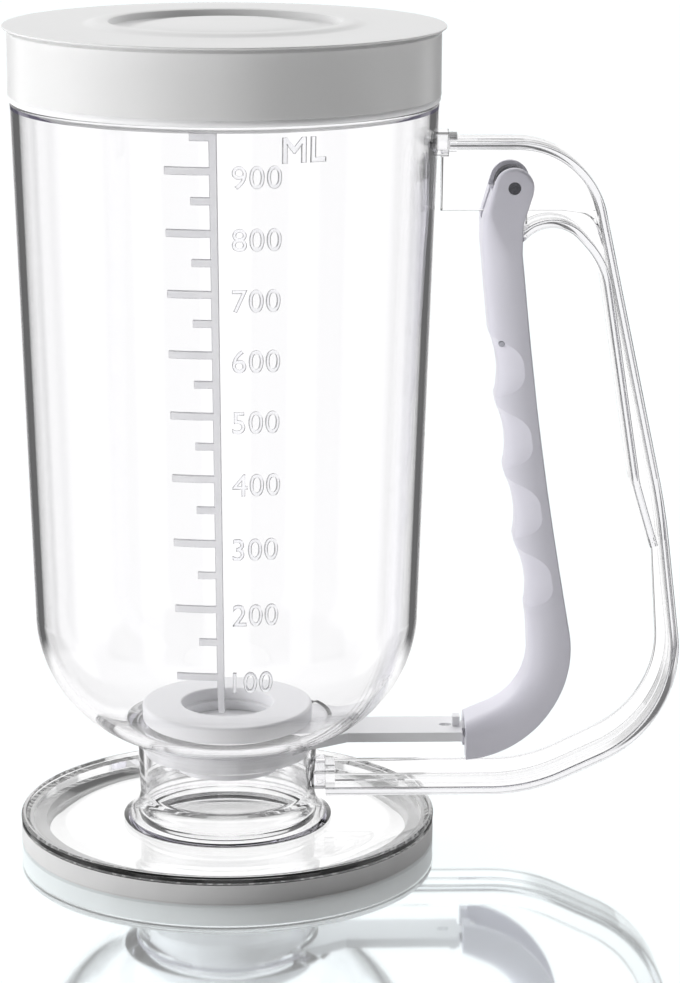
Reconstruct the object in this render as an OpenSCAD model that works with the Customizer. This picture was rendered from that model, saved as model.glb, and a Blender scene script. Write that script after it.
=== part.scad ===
// Pancake batter dispenser: a clear jug with a sliding shutter valve in its neck, worked by a
// trigger in the handle, with a press-on lid and a drip stand that the jug is lifted off.
// Millimetres. Origin: middle of the stand's underside. +Z up, the handle along +X.

/* [Jug] */
// Outer radius of the jug at its shoulder, under the lid
jug_top_r = 51.7; // [50:0.1:53]
// Outer radius where the side runs into the rounded bottom
jug_low_r = 47.6; // [46:0.1:49]
// Height of the shoulder that the lid seal rests on
shoulder_z = 186.3; // [180:0.1:192]
// Wall thickness of the clear moulding
wall = 2.1; // [1.8:0.1:2.4]
// Radius of the rounded bottom's profile
bowl_r = 33.6; // [32:0.1:35]
// Outer radius of the outlet neck
neck_r = 22.0; // [21.5:0.1:23]
// Outer radius of the neck's flared foot
neck_foot_r = 26.0; // [24:0.1:28]

/* [Lid] */
// Radius of the lid's overhanging top disc
lid_r = 53.3; // [52.5:0.1:55]
// Outer radius of the lid's skirt
skirt_r = 52.1; // [51.8:0.1:52.4]
// Height of the lid's top edge above the table
lid_top_z = 204.5; // [203:0.1:208]
// Depth of the finger dish in the lid's top
lid_dish_depth = 1.8; // [0.5:0.1:1.9]

/* [Valve] */
// Radius of the outlet at the top of the valve seat
outlet_r = 11.5; // [11:0.1:12]
// Outer radius of the valve seat
seat_r = 21.5; // [21:0.1:22]
// Thickness of the shutter slide
slide_t = 2.4; // [2:0.1:2.5]
// Half width of the shutter plate
shutter_half_w = 13.2; // [12.8:0.1:13.6]
// Half width of the bar that runs out to the trigger
bar_half_w = 6.8; // [5:0.1:8]
// Where the bar ends in front of the trigger's foot
bar_end_x = 58.8; // [57:0.1:59]

/* [Trigger] */
// Distance of the hinge axis from the jug's axis
pivot_x = 69.5; // [68:0.1:70]
// Height of the hinge axis
pivot_z = 166; // [165:0.5:167]
// Width of the trigger
trigger_w = 18; // [17:0.5:20]
// Wall thickness of the trigger
trigger_wall = 1.9; // [1.6:0.1:2.2]
// Radius of the trigger's ears
ear_r = 4.8; // [4.5:0.1:5.2]
// Number of finger grooves
grooves = 4; // [3:1:4]
// Depth of a finger groove
groove_depth = 1.3; // [0.5:0.1:1.5]
// Radius of the hinge pin
pin_r = 1.5; // [1.2:0.1:1.8]

/* [Handle] */
// Width of the handle's flange and palm rib
handle_w = 13; // [11:0.5:13]
// Thickness of the flange
flange_t = 2.1; // [1.8:0.1:2.6]
// Thickness of the web that carries the hinge
web_t = 3; // [2.4:0.2:3.4]

/* [Stand] */
// Outer radius of the stand
stand_r = 52; // [50:0.5:56]
// Height of the stand's lip
stand_h = 7.3; // [6.8:0.1:8]

/* [Hidden] */
$fn = 96;

clear = [0.86, 0.88, 0.92, 0.35];
white = [0.93, 0.93, 0.94];
lilac_white = [0.82, 0.81, 0.87];
rubber_white = [0.88, 0.88, 0.90];
steel = [0.42, 0.42, 0.45];

eps = 0.01;

// Stand
foot_h = 5.1;                       // height of the foot ring's outer band
foot_w = 2.9;                       // thickness of that band
dish_z = 5.2;                       // top of the dish's floor
dish_under_z = 2.8;                 // underside of the dish's floor
lip_w = 3.6;                        // width of the lip's top
ledge_r = 46;                       // inner radius of the foot ring's ledge
locator_r = 22.0;                   // ring that centres the neck's foot

// Jug
bowl_x = jug_low_r - bowl_r;        // centre of the bottom's profile arc
bowl_z = 59.6;
bowl_in_r = bowl_r - wall;
floor_z = 30.2;                     // ledge that the valve seat stands on
bore_r = neck_r - 1.6;              // inside of the neck at the valve
neck_top_r = neck_r + 0.5;
collar_r = jug_top_r - 2.0;         // outside of the upright collar inside the lid
collar_top_z = 200.2;
foot_in_r = neck_foot_r - wall;

// Valve, from the bottom up
retainer_z = 26.1;                  // face that the slide runs on
slide_z = retainer_z + 0.1;
slide_top = slide_z + slide_t;
seat_z = slide_top + 0.15;
seat_top = 34.6;
port_r = outlet_r - 0.9;            // the seat's narrower lower hole
slot_gap = 0.3;                     // room round the slide's edges
shoulder_x = 20;                    // where the shutter plate starts to narrow
neck_in_x = 30;                     // where it is down to the bar's width

// Trigger
cheek = trigger_w / 2;              // half width
channel = cheek - trigger_wall;     // half width inside
wall_top_z = 157.6;                 // top of the finger wall, under the handle's web
groove_top_z = 130.6;
groove_pitch = 17.8;
foot_x = 59.6;                      // end face of the foot
foot_low_z = 22.0;
foot_high_z = 31.0;
bend_z = 56;                        // height where the foot starts to curve
anchor = [67, 127.8];               // cross pin that the spring's long leg pushes on
anchor_r = 0.75;

// Handle
arm_top_z = 177;
arm_low_z = 12;
pad_x = 54;                         // face of the jug's upper pad
low_pad_x = 24.6;                   // face of the pad on the neck
top_spigot_z = arm_top_z - flange_t / 2;
low_spigot_z = 16.3;
hub_r = 3.6;
coil_hub_r = 2.9;

// Return spring
wire_r = 0.45;
coil_r = 3.6;
coil_turns = 4;
coil_y0 = web_t / 2 + 0.7;
coil_y1 = channel - 0.6;

// ---------- 2D helpers ----------

function unit(v) = v / norm(v);

// Points of an arc of radius r that rounds corner b between a and c
function corner(a, b, c, r, steps = 10) =
    let(u = unit(a - b), w = unit(c - b),
        half = acos(max(-1, min(1, u * w))) / 2,
        centre = b + unit(u + w) * r / sin(half),
        side = u.x * w.y - u.y * w.x > 0 ? -1 : 1,
        p0 = b + u * r / tan(half),
        a0 = atan2(p0.y - centre.y, p0.x - centre.x),
        turn = side * (180 - 2 * half))
    [for (i = [0 : steps]) centre + r * [cos(a0 + turn * i / steps), sin(a0 + turn * i / steps)]];

// Open path through points p with corner radii r (0 leaves a corner sharp)
function rounded(p, r, steps = 10) = [
    for (i = [0 : len(p) - 1])
        for (q = (i == 0 || i == len(p) - 1 || r[i] == 0)
            ? [p[i]] : corner(p[i - 1], p[i], p[i + 1], r[i], steps)) q
];

// The same path moved d to its right-hand side; corners turn right, so radii shrink
function inset_vertex(p, i, d) =
    let(a = unit(p[i] - p[max(i - 1, 0)] + (i == 0 ? p[1] - p[0] : [0, 0])),
        b = unit(p[min(i + 1, len(p) - 1)] - p[i] + (i == len(p) - 1 ? p[i] - p[i - 1] : [0, 0])),
        na = [a.y, -a.x], nb = [b.y, -b.x])
    p[i] + (na + nb) * d / (1 + na * nb);
function inset(p, d) = [for (i = [0 : len(p) - 1]) inset_vertex(p, i, d)];
function shrink(r, d) = [for (x = r) x > d ? x - d : 0];

function reversed(p) = [for (i = [len(p) - 1 : -1 : 0]) p[i]];

// Arc of a circle as points, from angle a0 to a1
function arc(cx, cz, r, a0, a1, steps = 12) =
    [for (i = [0 : steps]) let(a = a0 + (a1 - a0) * i / steps) [cx + r * cos(a), cz + r * sin(a)]];

// Flat shape in the X-Z plane, thickened evenly about Y = 0
module plate(points, t) {
    rotate([90, 0, 0]) linear_extrude(t, center = true) polygon(points);
}

module rod_y(x, z, r, y0, y1) {
    translate([x, y1, z]) rotate([90, 0, 0]) cylinder(r = r, h = y1 - y0);
}

module rod_x(x0, x1, z, r) {
    translate([x0, 0, z]) rotate([0, 90, 0]) cylinder(r = r, h = x1 - x0);
}

// ---------- stand ----------

// Clear drip dish with a rounded lip and a low ring that centres the jug's neck
module stand_dish() {
    lip_in_r = stand_r - lip_w - 1.4;
    color(clear) rotate_extrude() polygon(concat(
        [[0, dish_under_z], [ledge_r + 3, dish_under_z], [ledge_r + 3, foot_h]],
        [[stand_r - 0.2, foot_h], [stand_r, foot_h + 0.3]],
        arc(stand_r - 1.7, stand_h - 1.7, 1.7, 0, 90, 8),
        arc(stand_r - lip_w, stand_h - 0.7, 0.7, 90, 140, 4),
        [[lip_in_r - 0.6, dish_z + 0.25], [lip_in_r - 1.6, dish_z]],
        [[locator_r, dish_z], [locator_r, dish_z + 2.1], [locator_r - 0.4, dish_z + 2.5]],
        [[locator_r - 1.4, dish_z + 2.5], [locator_r - 1.8, dish_z + 2.1]],
        [[locator_r - 2.2, dish_z - 0.4], [locator_r - 4, dish_z - 0.9], [0, dish_z - 1.1]]
    ));
}

// Pale non-slip ring under the dish's rim
module foot_ring() {
    color(rubber_white) rotate_extrude() polygon([
        [ledge_r, 0], [stand_r - 0.6, 0], [stand_r - 0.1, 0.5], [stand_r - 0.1, foot_h],
        [stand_r - foot_w, foot_h], [stand_r - foot_w, dish_under_z], [ledge_r, dish_under_z]
    ]);
}

// ---------- jug ----------

// Outline of the moulding from the neck's foot up the outside and back down the inside
function jug_outside() = concat(
    [[neck_foot_r, dish_z], [neck_foot_r, dish_z + 0.8]],
    arc(neck_r + 9.5, 15.5, 9.5, 215, 180, 8),
    [[neck_top_r, 24.4]],
    arc(neck_top_r + 2.4, 24.4 + 0.2, 2.4, 180, 116, 6),
    arc(bowl_x, bowl_z, bowl_r, -68, 0, 28),
    [[jug_top_r, shoulder_z - 1]],
    arc(jug_top_r - 0.6, shoulder_z - 0.6, 0.6, 0, 90, 4),
    [[collar_r, shoulder_z], [collar_r, collar_top_z - 0.5], [collar_r - 0.5, collar_top_z]]
);

function jug_inside() = concat(
    [[collar_r - 1.6, collar_top_z], [collar_r - 2, collar_top_z - 0.5]],
    [[collar_r - 2, shoulder_z + 1.5], [jug_top_r - wall - 0.1, shoulder_z - 1.5]],
    reversed(arc(bowl_x, bowl_z, bowl_in_r, -68.9, 0, 28)),
    [[bore_r, floor_z], [bore_r, 18]],
    [[foot_in_r - 3.6, 14], [foot_in_r - 2.2, 9.5], [foot_in_r, dish_z]]
);

module jug() {
    color(clear) difference() {
        union() {
            rotate_extrude() polygon(concat(jug_outside(), jug_inside()));
            // Pads that the handle is bonded to
            rod_x(jug_top_r - wall + 0.6, pad_x, top_spigot_z, 3.3);
            rod_x(neck_r - 1, low_pad_x, low_spigot_z, 4.4);
        }
        // Slot in the front of the neck that the slide runs through
        translate([0, -shutter_half_w - slot_gap, slide_z - 0.2])
            cube([neck_in_x + 2, 2 * (shutter_half_w + slot_gap), slide_t + 0.4]);
        rod_x(pad_x - 2.6, pad_x + 1, top_spigot_z, 1.9);
        rod_x(low_pad_x - 2.2, low_pad_x + 1, low_spigot_z, 2.2);
    }
}

// ---------- lid ----------

// Height of the lid's top surface at radius r: a soft crown with a dish round a centre dome
function lid_crown(r) =
    r > 32 ? lid_top_z + 0.5 * sin(90 * (lid_r - 1 - r) / (lid_r - 33))
    : lid_top_z + 0.5 - lid_dish_depth * lookup(r, [
        [0, 0.3], [4, 0.33], [8, 0.46], [12, 0.68], [15, 0.9], [17, 0.98], [19, 1], [20.3, 0.95],
        [21.4, 0.66], [22.6, 0.33], [24, 0.17], [27, 0.06], [31, 0]
    ]);

module lid() {
    under_z = lid_top_z - 3.6;
    top = [for (r = [0 : 1.5 : lid_r - 1]) [r, lid_crown(r)]];
    color(white) rotate_extrude() polygon(concat(
        top,
        arc(lid_r - 0.7, lid_top_z - 0.7, 0.7, 60, -60, 6),
        [[skirt_r - 0.2, lid_top_z - 1.9], [skirt_r, lid_top_z - 2.6], [skirt_r, shoulder_z + 1.95]],
        [[collar_r + 0.2, shoulder_z + 1.95], [collar_r + 0.2, under_z - 0.5], [collar_r - 0.3, under_z]],
        // Inner wall that grips the inside of the collar
        [[collar_r - 2.3, under_z], [collar_r - 2.4, shoulder_z + 6], [collar_r - 3.8, shoulder_z + 6.4]],
        [[collar_r - 4, under_z], [0, under_z + 0.6]]
    ));
}

// Soft ring stretched round the collar, between the jug's shoulder and the lid's skirt
module lid_seal() {
    color(rubber_white) rotate_extrude() polygon(concat(
        [[collar_r + 0.02, shoulder_z], [jug_top_r - 0.5, shoulder_z]],
        arc(jug_top_r - 0.6, shoulder_z + 0.9, 0.88, -80, 80, 8),
        [[jug_top_r - 0.5, shoulder_z + 1.8], [collar_r + 0.02, shoulder_z + 1.8]]
    ));
}

// ---------- valve ----------

// White ring in the jug's floor; the shutter closes its port from below
module valve_seat() {
    groove_r = port_r + 2.3;
    color(white) rotate_extrude() polygon(concat(
        [[port_r + 0.2, seat_z], [port_r + 0.2, seat_z + 1.3], [groove_r, seat_z + 1.3]],
        [[groove_r, seat_z], [bore_r - 0.1, seat_z], [bore_r - 0.1, floor_z]],
        [[seat_r, floor_z]],
        arc(seat_r - 0.8, seat_top - 0.8, 0.8, 0, 90, 6),
        arc(outlet_r + 0.5, seat_top - 0.5, 0.5, 90, 180, 4),
        [[outlet_r, seat_z + 2.8], [port_r, seat_z + 2.4], [port_r, seat_z + 1.5]]
    ));
}

// Soft ring in the seat's underside that wipes the shutter
module seat_gasket() {
    color(rubber_white) translate([0, 0, seat_z - 0.08]) difference() {
        cylinder(r = port_r + 2.3, h = 1.38);
        translate([0, 0, -1]) cylinder(r = port_r + 0.2, h = 4);
    }
}

// Outline of the slide: round-ended shutter plate, tapering to the bar
module slide_outline(grow = 0) {
    circle(r = shutter_half_w + grow);
    polygon([
        [0, -shutter_half_w - grow], [shoulder_x, -shutter_half_w - grow],
        [neck_in_x, -bar_half_w - grow], [bar_end_x, -bar_half_w - grow],
        [bar_end_x, bar_half_w + grow], [neck_in_x, bar_half_w + grow],
        [shoulder_x, shutter_half_w + grow], [0, shutter_half_w + grow]
    ]);
}

// Sliding shutter with its bar, hook and the T-head that the trigger's foot pulls
module shutter_slide() {
    waist = 3;
    head_x = foot_x + trigger_wall + 0.5;
    color(white) difference() {
        union() {
            translate([0, 0, slide_z]) linear_extrude(slide_t) slide_outline();
            translate([bar_end_x - eps, -waist, slide_z])
                cube([head_x - bar_end_x + 1, 2 * waist, slide_t]);
            translate([head_x, -5.6, slide_z]) cube([1.5, 11.2, slide_t]);
            translate([bar_end_x - 2.2, -1.6, slide_top - eps]) cube([1.8, 3.2, 2.5]);
        }
        // Lead-in slot beside the hook
        for (x = [bar_end_x - 4.4, bar_end_x - 3.4])
            translate([x, 0, slide_z - 1]) cylinder(r = 1.1, h = slide_t + 2);
    }
}

// Cup below the slide: carries it, guides its edges and ends in the pouring spout
module valve_retainer() {
    spout_r = 12.7;
    color(white) union() {
        rotate_extrude() polygon([
            [port_r + 0.2, 18.6], [spout_r - 0.3, 18.6], [spout_r, 18.9], [spout_r, 21],
            [16, 21], [bore_r - 0.6, 22.6], [bore_r - 0.1, 23.6], [bore_r - 0.1, retainer_z],
            [port_r + 0.2, retainer_z]
        ]);
        // Guide rails beside the shutter
        translate([0, 0, retainer_z - eps]) linear_extrude(slide_t + 0.2) difference() {
            circle(r = bore_r - 0.1);
            slide_outline(slot_gap);
            translate([0, -shutter_half_w - slot_gap])
                square([bore_r + 1, 2 * (shutter_half_w + slot_gap)]);
        }
    }
}

// ---------- trigger ----------

// Front and back edges of the trigger, seen from the side, at height z
front_line = [
    [54, 75.1], [60.6, 74.15], [77.8, 71.1], [95.5, 68.4], [113.1, 66], [131.2, 64.1], [142, 63],
    [152, 62.1], [158.5, 62.2], [163, 63.6], [167.4, 64.9]
];
function front_x(z) = lookup(z, front_line) + groove_depth * scoop(z);
function back_x(z) = lookup(z, [
    [54, 85.1], [60, 84.05], [70, 82.3], [80, 80.6], [90, 79], [101, 77.4], [112, 75.9], [130, 73.8],
    [150, 71.7], [157, 71.8], [164.6, 74.1], [167.4, 74]
]);
// Share of a finger groove's depth at height z: round scoops with narrow ridges between them
function scoop(z) =
    let(turn = (groove_top_z - z) / groove_pitch, t = 2 * (turn - floor(turn)) - 1)
    turn < 0 || turn > grooves ? 0 : max(0, 1 - pow(t / 0.88, 2));

// Where the foot curves towards the slide: the two edges as evenly divided paths
foot_line = [[front_x(bend_z), bend_z], [75.9, 38], [foot_x, foot_high_z]];
foot_radii = [0, 16, 0];
foot_front = rounded(foot_line, foot_radii, 8);
foot_back = rounded([[back_x(bend_z), bend_z], [87, 44.6], [73.4, 23.3], [foot_x, foot_low_z]], [0, 28, 27.5, 0], 8);

function lengths(p, i = 0, sum = 0) =
    i == len(p) ? []
    : concat([sum], lengths(p, i + 1, i + 1 < len(p) ? sum + norm(p[i + 1] - p[i]) : sum));
function along(p, t) =
    let(l = lengths(p), s = t * l[len(l) - 1])
    [for (k = [0, 1]) lookup(s, [for (i = [0 : len(p) - 1]) [l[i], p[i][k]]])];

bend_steps = 16;
heights = concat(
    [for (z = [pivot_z + 1.4 : -2.5 : groove_top_z + 1]) z],
    [for (i = [0 : grooves * 8]) groove_top_z - i * groove_pitch / 8]
);
stations = concat(
    [for (z = heights) [[front_x(z), z], [back_x(z), z]]],
    [for (i = [0 : bend_steps]) [along(foot_front, i / bend_steps), along(foot_back, i / bend_steps)]]
);

// One slice of the grip: flat at the back, rounded over the finger side and further round in a groove
function slice(front, back) =
    let(n = unit(back - front),
        round_r = lookup(front.y, [[0, 4.6], [148, 4.6], [160, 1.6], [166, 0.9]]),
        reach = min(round_r + 2.6 * scoop(front.y), norm(back - front) - 0.9),
        side = [for (i = [0 : 5]) let(a = 90 * i / 5)
            [front + n * reach * (1 - cos(a)), cheek - round_r + round_r * sin(a)]])
    concat(
        [for (p = side) [p[0].x, p[1], p[0].y]],
        [[back.x, cheek, back.y], [back.x, -cheek, back.y]],
        [for (p = reversed(side)) [p[0].x, -p[1], p[0].y]]
    );

// Solid through a list of slices with equal numbers of points
module loft(slices) {
    n = len(slices[0]);
    last = len(slices) - 1;
    polyhedron(
        points = [for (s = slices) for (p = s) p],
        faces = concat(
            [[for (i = [0 : n - 1]) i]],
            [[for (i = [0 : n - 1]) last * n + n - 1 - i]],
            [for (k = [0 : last - 1]) for (i = [0 : n - 1]) let(j = (i + 1) % n)
                [k * n + i, (k + 1) * n + j, k * n + j]],
            [for (k = [0 : last - 1]) for (i = [0 : n - 1]) let(j = (i + 1) % n)
                [k * n + i, (k + 1) * n + i, (k + 1) * n + j]]
        )
    );
}

// Side view of the hollow: a finger wall is left in front and the back stays open
module channel_cut() {
    skin = trigger_wall + groove_depth + 0.1;
    step = 1.6;
    low = [
        for (p = rounded(inset(foot_line, -2.4), shrink(foot_radii, -2.4), 8))
            if (p.x > foot_x + trigger_wall && p.y < bend_z - 3) p
    ];
    plate(concat(
        [for (z = [170, 159, 152, 142]) [lookup(z, [[152, 62.1], [142, 63]]) + skin, z]],
        [for (z = [141, 131.2, 113.1, 95.5, 77.8, 60.6]) [lookup(z, front_line) + skin + step, z]],
        low,
        [[foot_x + trigger_wall, foot_high_z - 1.7], [foot_x + trigger_wall, 10], [110, 10], [110, 170]]
    ), 2 * channel);
    // Behind the finger grooves the hollow's floor is narrower, to keep the rounded edges thick
    plate(concat(
        [for (z = [142, 131.2, 113.1, 95.5, 77.8, 60.6]) [lookup(z, front_line) + skin, z]],
        [[80, 53], [80, 142]]
    ), 2 * (channel - 1.5));
    // Pocket that bares the back of the cross pin for the spring's leg
    pocket_low = anchor.y - 1.5;
    pocket_high = anchor.y + 12.2;
    plate([
        [anchor.x, pocket_low], [anchor.x, pocket_high], [anchor.x + 8, pocket_high],
        [anchor.x + 8, pocket_low]
    ], 2 * (channel - 1.7));
}

// Trigger: a U-shaped channel with ears either side of the handle's web
module trigger() {
    color(lilac_white) difference() {
        union() {
            loft([for (s = stations) slice(s[0], s[1])]);
            translate([pivot_x, 0, pivot_z]) rotate([90, 0, 0]) rotate_extrude() polygon(concat(
                [[0, -cheek]], arc(ear_r - 0.9, 0.9 - cheek, 0.9, -90, 0, 5),
                arc(ear_r - 0.9, cheek - 0.9, 0.9, 0, 90, 5), [[0, cheek]]
            ));
        }
        channel_cut();
        // Room between the ears for the web
        translate([50, -channel, wall_top_z]) cube([40, 2 * channel, 20]);
        // Notch in the foot's end wall that drops over the slide's waist
        translate([foot_x - 1, -3.4, foot_low_z - 2]) cube([trigger_wall + 2, 6.8, 29.4 - foot_low_z + 2]);
        rod_y(pivot_x, pivot_z, pin_r + 0.05, -cheek - 1, cheek + 1);
        rod_y(anchor.x, anchor.y, anchor_r, -cheek - 1, cheek + 1);
    }
}

module trigger_pin() {
    color(steel) rod_y(pivot_x, pivot_z, pin_r, -cheek + 0.5, cheek - 0.5);
}

module spring_anchor_pin() {
    color(steel) rod_y(anchor.x, anchor.y, anchor_r, -cheek + 0.2, cheek - 0.2);
}

// Torsion spring: one end turned into the web, a coil round the hub, a long leg down the channel
leg_end = [anchor.x + anchor_r + wire_r + 0.05, 4, anchor.y - 0.9];
coil_path = [for (i = [0 : coil_turns * 16]) let(a = 180 + 360 * i / 16, f = i / (coil_turns * 16))
    [pivot_x + coil_r * cos(a), coil_y0 + (coil_y1 - coil_y0) * f, pivot_z - coil_r * sin(a)]];
spring_path = concat(
    [[pivot_x - coil_r, -0.9, pivot_z], [pivot_x - coil_r, coil_y0 - 0.4, pivot_z]],
    coil_path,
    [leg_end]
);

function cross3(a, b) = [a.y * b.z - a.z * b.y, a.z * b.x - a.x * b.z, a.x * b.y - a.y * b.x];

// Ring of points round a wire at path point i
function wire_ring(path, i, r, sides) =
    let(d = unit(path[min(i + 1, len(path) - 1)] - path[max(i - 1, 0)]),
        ref = abs(d.y) > 0.9 ? [0, 0, 1] : [0, 1, 0],
        u = unit(cross3(d, ref)), v = cross3(d, u))
    [for (k = [0 : sides - 1]) path[i] + r * (u * cos(360 * k / sides) + v * sin(360 * k / sides))];

module trigger_spring() {
    color(steel) loft([for (i = [0 : len(spring_path) - 1]) wire_ring(spring_path, i, wire_r, 8)]);
}

// ---------- handle ----------

// Outer edge of the handle from the upper arm, round the back, to the lower arm
outer_path = [
    [pad_x, arm_top_z], [88.4, arm_top_z], [108.4, 86], [115.3, 30.4], [75.8, arm_low_z],
    [low_pad_x, arm_low_z]
];
outer_radii = [0, 22, 180, 32, 44, 0];
// Palm-side edge of the inner rib, from inside the trigger's channel to its tip on the back
palm_path = [[71.9, 152.4], [79.6, 159.5], [91.1, 147], [100, 92], [104.8, 76]];
palm_radii = [0, 8.5, 20, 14, 0];

module strip(path, radii, t) {
    plate(concat(rounded(path, radii), reversed(rounded(inset(path, t), shrink(radii, t)))), handle_w);
}

module handle_frame() {
    web_low_z = 159.4;
    web_x = pad_x - 1.8;
    inner = rounded(inset(outer_path, flange_t - 0.2), shrink(outer_radii, flange_t - 0.2));
    color(clear) difference() {
        union() {
            strip(outer_path, outer_radii, flange_t);
            strip(palm_path, palm_radii, -2);
            // Web that carries the hinge, notched round the jug's pad
            difference() {
                plate(concat(
                    [[web_x, web_low_z], [web_x, arm_top_z - 1]],
                    [for (p = inner) if (p.y > 120 && p.x > web_x + 1) p],
                    rounded([[97.6, 121], [91.2, 154.5], [82, web_low_z], [web_x, web_low_z]],
                        [0, 6, 12, 0])
                ), web_t);
                rod_x(web_x - 1, pad_x, top_spigot_z, 3.5);
            }
            // Thinner web between palm rib and flange, round the lower corner and along the lower arm
            plate(concat(
                [[73, 152.9]],
                [for (p = rounded(inset(palm_path, -1), palm_radii)) if (p.x > 74) p],
                rounded([[105.6, 76], [108.4, 36], [75, 19.7], [low_pad_x, 19.7]], [0, 26, 36, 0]),
                [[low_pad_x, arm_low_z + 1]],
                reversed([for (p = inner) if (p.y < 165 && p.x > low_pad_x + 1) p]),
                [[85, web_low_z + 1], [73, web_low_z + 1]]
            ), web_t - 1);
            // Hubs that fill the trigger's channel at the hinge
            rod_y(pivot_x, pivot_z, hub_r, -channel + 0.1, 0);
            rod_y(pivot_x, pivot_z, coil_hub_r, 0, channel - 0.1);
            // Ends that seat in the jug's pads
            rod_x(pad_x - 2.6, pad_x + eps, top_spigot_z, 1.9);
            rod_x(pad_x, pad_x + 2, top_spigot_z, 2.6);
            rod_x(low_pad_x - 2.2, low_pad_x + eps, low_spigot_z, 2.2);
            rod_x(low_pad_x, low_pad_x + 2.4, low_spigot_z, 3.6);
        }
        rod_y(pivot_x, pivot_z, pin_r, -cheek, cheek);
        // Hole for the spring's turned-in end
        rod_y(pivot_x - coil_r, pivot_z, wire_r + 0.1, -web_t, web_t);
    }
}

stand_dish();
foot_ring();
jug();
handle_frame();
lid();
lid_seal();
valve_seat();
seat_gasket();
valve_retainer();
shutter_slide();
trigger();
trigger_pin();
trigger_spring();
spring_anchor_pin();
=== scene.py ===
import math

import bmesh
import bpy
from mathutils import Matrix, Vector


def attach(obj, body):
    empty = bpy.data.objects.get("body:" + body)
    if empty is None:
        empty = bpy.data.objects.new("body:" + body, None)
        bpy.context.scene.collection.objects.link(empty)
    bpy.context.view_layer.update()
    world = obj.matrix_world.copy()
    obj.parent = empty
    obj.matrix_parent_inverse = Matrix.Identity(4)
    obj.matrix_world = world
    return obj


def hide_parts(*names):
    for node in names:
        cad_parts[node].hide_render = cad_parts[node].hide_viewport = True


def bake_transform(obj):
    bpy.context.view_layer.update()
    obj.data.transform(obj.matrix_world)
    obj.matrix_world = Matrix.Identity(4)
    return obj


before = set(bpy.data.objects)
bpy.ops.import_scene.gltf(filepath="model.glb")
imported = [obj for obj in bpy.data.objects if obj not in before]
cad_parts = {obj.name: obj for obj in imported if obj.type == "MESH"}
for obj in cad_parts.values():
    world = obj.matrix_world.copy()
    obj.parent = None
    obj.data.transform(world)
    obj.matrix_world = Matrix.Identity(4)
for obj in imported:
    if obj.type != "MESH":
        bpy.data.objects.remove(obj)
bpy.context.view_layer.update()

scene = bpy.context.scene
scene.view_settings.view_transform = "Standard"

MM = 0.001
WELD = 1e-5
SLIVER = 0.0002
ON_AXIS = 1e-6
SAME_POINT = 1e-4
QUARTER = math.radians(90)
CREASE = math.radians(32)
ROUND_STEPS = 256
EAR_STEPS = 96
ROD_STEPS = 64
EDGE_STEPS = 5

# ---------- driving sizes, in millimetres as in the part ----------

# Jug: a slightly conical wall, a rounded bowl, a neck with a flared foot and a collar for the lid
WALL = 2.1
JUG_LOW_R = 47.6
JUG_TOP_R = 51.7
JUG_LOW_Z = 59.6
SHOULDER_Z = 186.3
SHOULDER_EDGE = 0.6
BOWL_R = 33.6
BOWL_X = JUG_LOW_R - BOWL_R
COLLAR_R = JUG_TOP_R - 2.0
COLLAR_TOP_Z = 200.2
COLLAR_EDGE = 0.5
NECK_R = 22.0
NECK_TOP_R = NECK_R + 0.5
THROAT_R = 2.4
THROAT_Z = 24.6
NECK_FOOT_R = 26.0
FOOT_EDGE = 0.25
FOOT_GAP = 0.05
FLARE_R = 7.6
FLARE_Z = 12.5
BORE_R = NECK_R - 1.6
FLOOR_Z = 30.2
SLOT_Z = (26.0, 28.8)
SLOT_HALF_W = 13.5

LID_R = 53.3
LID_TOP_Z = 204.5
LID_EDGE = 0.25
SKIRT_R = 52.1
SKIRT_LOW_Z = SHOULDER_Z + 1.7

STAND_R = 52.0
STAND_H = 7.3
STAND_EDGE = 0.8
LIP_W = 1.1
FOOT_H = 5.1
DISH_Z = 5.2
DISH_UNDER_Z = 2.8
LEDGE_R = 46.0
LOCATOR_R = 22.0
LOCATOR_EDGE = 0.7

PIVOT = Vector((69.5, 166.0))
PIN_R = 1.5
CHEEK = 9.0
TRIGGER_WALL = 1.9
CHANNEL = CHEEK - TRIGGER_WALL
EAR_R = 4.8
EAR_EDGE = 0.9
BACK_EDGE = 0.4
WEB_SLOT = 2.3
WEB_SLOT_Z = 157.6
OVER_EARS_Z = 177.6
GROOVES = 4
GROOVE_PITCH = 17.8
GROOVE_DEPTH = 1.3
GROOVE_TOP_Z = 130.6
BEND_Z = 56.0
FOOT_X = 59.6
FOOT_Z = (22.0, 31.0)
FOOT_SLOT_HALF_W = 3.4
ANCHOR = Vector((67.0, 127.8))
ANCHOR_R = 0.75
ANCHOR_SUNK = 0.9
ANCHOR_EDGE = 0.15

PAD_X = 54.0
PAD_R = 3.3
LOW_PAD_X = 24.6
LOW_PAD_R = 4.4
ARM_TOP_Z = 177.0
ARM_LOW_Z = 12.0
HANDLE_W = 13.0
FLANGE_T = 2.1
FLANGE_EDGE = 0.55
PALM_T = 2.0
PALM_EDGE = 0.5
WEB_T = 3.0
WEB_LOW_Z = 159.4
TOP_SPIGOT_Z = ARM_TOP_Z - FLANGE_T / 2
TOP_SPIGOT = (1.9, 2.6)
LOW_SPIGOT_Z = 16.3
LOW_SPIGOT = (2.2, 2.2)
SPIGOT_PLAY = 0.08
SPIGOT_END_PLAY = 0.05
HUB_R = 3.6
COIL_HUB_R = 2.9

WIRE_R = 0.45
WIRE_SIDES = 14
COIL_R = 3.6
COIL_TURNS = 4
COIL_STEPS = 40
COIL_Y = (WEB_T / 2 + 0.7, CHANNEL - 0.6)
LEG_Y = 4.0


def between(x, table):
    """Straight-line value at x from a table of (x, value) pairs."""
    if x <= table[0][0]:
        return table[0][1]
    for (x0, v0), (x1, v1) in zip(table, table[1:]):
        if x <= x1:
            return v0 + (v1 - v0) * (x - x0) / (x1 - x0)
    return table[-1][1]


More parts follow.
